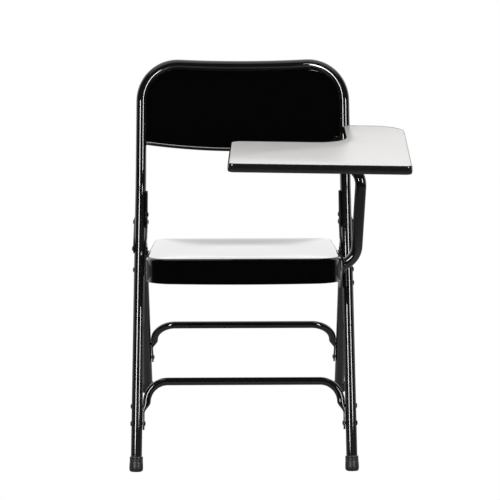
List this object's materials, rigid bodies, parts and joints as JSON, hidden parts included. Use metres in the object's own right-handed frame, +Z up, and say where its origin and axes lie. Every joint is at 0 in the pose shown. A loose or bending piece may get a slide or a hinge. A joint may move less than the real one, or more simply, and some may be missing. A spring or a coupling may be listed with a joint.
{
  "type": "folding student desk chair",
  "caption": "Folding black steel chair with braced legs, hinged links, bowed back and a flip-up writing tablet on a side support arm.",
  "frame": {"origin": "middle of the bounding box, on the floor", "axes": "+Z up, +Y towards the back of the chair, +X towards the sitter's left, where the tablet arm is"},
  "size_m": [0.5621, 0.6808, 0.7861],
  "materials": {
    "black_steel": "gloss powder coat",
    "seat_enamel": "gloss powder coat",
    "black_rivet": "satin black",
    "screw_steel": "zinc plated",
    "foot_rubber": "matte",
    "plug_plastic": "matte",
    "laminate": "fine matte laminate",
    "board_core": "particle board",
    "edge_moulding": "satin vinyl"
  },
  "bodies": {
    "front_frame": {"arm_bracket": "black_steel", "arm_bracket_rivet": "black_rivet", "backrest_hem": "black_steel", "backrest_panel": "black_steel", "front_brace": "black_steel", "front_brace_left_lower_rivet": "black_rivet", "front_brace_left_upper_rivet": "black_rivet", "front_brace_right_lower_rivet": "black_rivet", "front_brace_right_upper_rivet": "black_rivet", "front_frame_tube": "black_steel", "front_left_foot_cap": "foot_rubber", "front_right_foot_cap": "foot_rubber", "left_link_pivot": "black_rivet", "left_seat_pivot": "black_rivet", "left_stop_plate": "black_steel", "left_stop_rivet": "black_rivet", "right_link_pivot": "black_rivet", "right_seat_pivot": "black_rivet", "right_stop_plate": "black_steel", "right_stop_rivet": "black_rivet", "tablet_rest": "black_steel", "tablet_support_arm": "black_steel"},
    "left_links": {"left_inner_hinge_link": "black_steel", "left_outer_hinge_link": "black_steel"},
    "rear_frame": {"left_leg_hinge_rivet": "black_rivet", "left_slot_stud": "black_rivet", "rear_brace": "black_steel", "rear_brace_left_lower_rivet": "black_rivet", "rear_brace_left_upper_rivet": "black_rivet", "rear_brace_right_lower_rivet": "black_rivet", "rear_brace_right_upper_rivet": "black_rivet", "rear_left_foot_cap": "foot_rubber", "rear_left_leg": "black_steel", "rear_left_leg_plug": "plug_plastic", "rear_right_foot_cap": "foot_rubber", "rear_right_leg": "black_steel", "rear_right_leg_plug": "plug_plastic", "right_leg_hinge_rivet": "black_rivet", "right_slot_stud": "black_rivet"},
    "seat": {"left_seat_bracket": "black_steel", "left_seat_bracket_front_rivet": "black_rivet", "left_seat_bracket_rear_rivet": "black_rivet", "right_seat_bracket": "black_steel", "right_seat_bracket_front_rivet": "black_rivet", "right_seat_bracket_rear_rivet": "black_rivet", "seat_pan": "seat_enamel"},
    "right_links": {"right_inner_hinge_link": "black_steel", "right_outer_hinge_link": "black_steel"},
    "tablet": {"tablet_board": "board_core", "tablet_edge_moulding": "edge_moulding", "tablet_front_saddle": "black_steel", "tablet_front_saddle_left_screw": "screw_steel", "tablet_front_saddle_right_screw": "screw_steel", "tablet_laminate": "laminate", "tablet_rear_saddle": "black_steel", "tablet_rear_saddle_left_screw": "screw_steel", "tablet_rear_saddle_right_screw": "screw_steel"}
  },
  "joints": [
    {"name": "seat_fold", "type": "hinge", "parent": "front_frame", "child": "seat", "pos_m": [-0.04688, 0.00396, 0.376], "axis": [-1, 0, 0], "range_deg": [0, 103.39]},
    {"name": "left_link_fold", "type": "hinge", "parent": "front_frame", "child": "left_links", "pos_m": [-0.04688, 0.02115, 0.4165], "axis": [-1, 0, 0], "range_deg": [0, 133.34]},
    {"name": "right_link_fold", "type": "hinge", "parent": "front_frame", "child": "right_links", "pos_m": [-0.04688, 0.02115, 0.4165], "axis": [-1, 0, 0], "range_deg": [0, 133.34]},
    {"name": "rear_leg_fold", "type": "hinge", "parent": "left_links", "child": "rear_frame", "pos_m": [-0.04688, 0.06864, 0.46184], "axis": [1, 0, 0], "range_deg": [0, 80.99]},
    {"name": "tablet_flip", "type": "hinge", "parent": "front_frame", "child": "tablet", "pos_m": [0.16362, 0.03636, 0.608], "axis": [0, 1, 0], "range_deg": [0, 89]}
  ],
  "couplings": [
    {"joint": "left_link_fold", "follows": "seat_fold", "ratio": 1.2898},
    {"joint": "right_link_fold", "follows": "seat_fold", "ratio": 1.2898},
    {"joint": "rear_leg_fold", "follows": "seat_fold", "ratio": 0.78341}
  ]
}
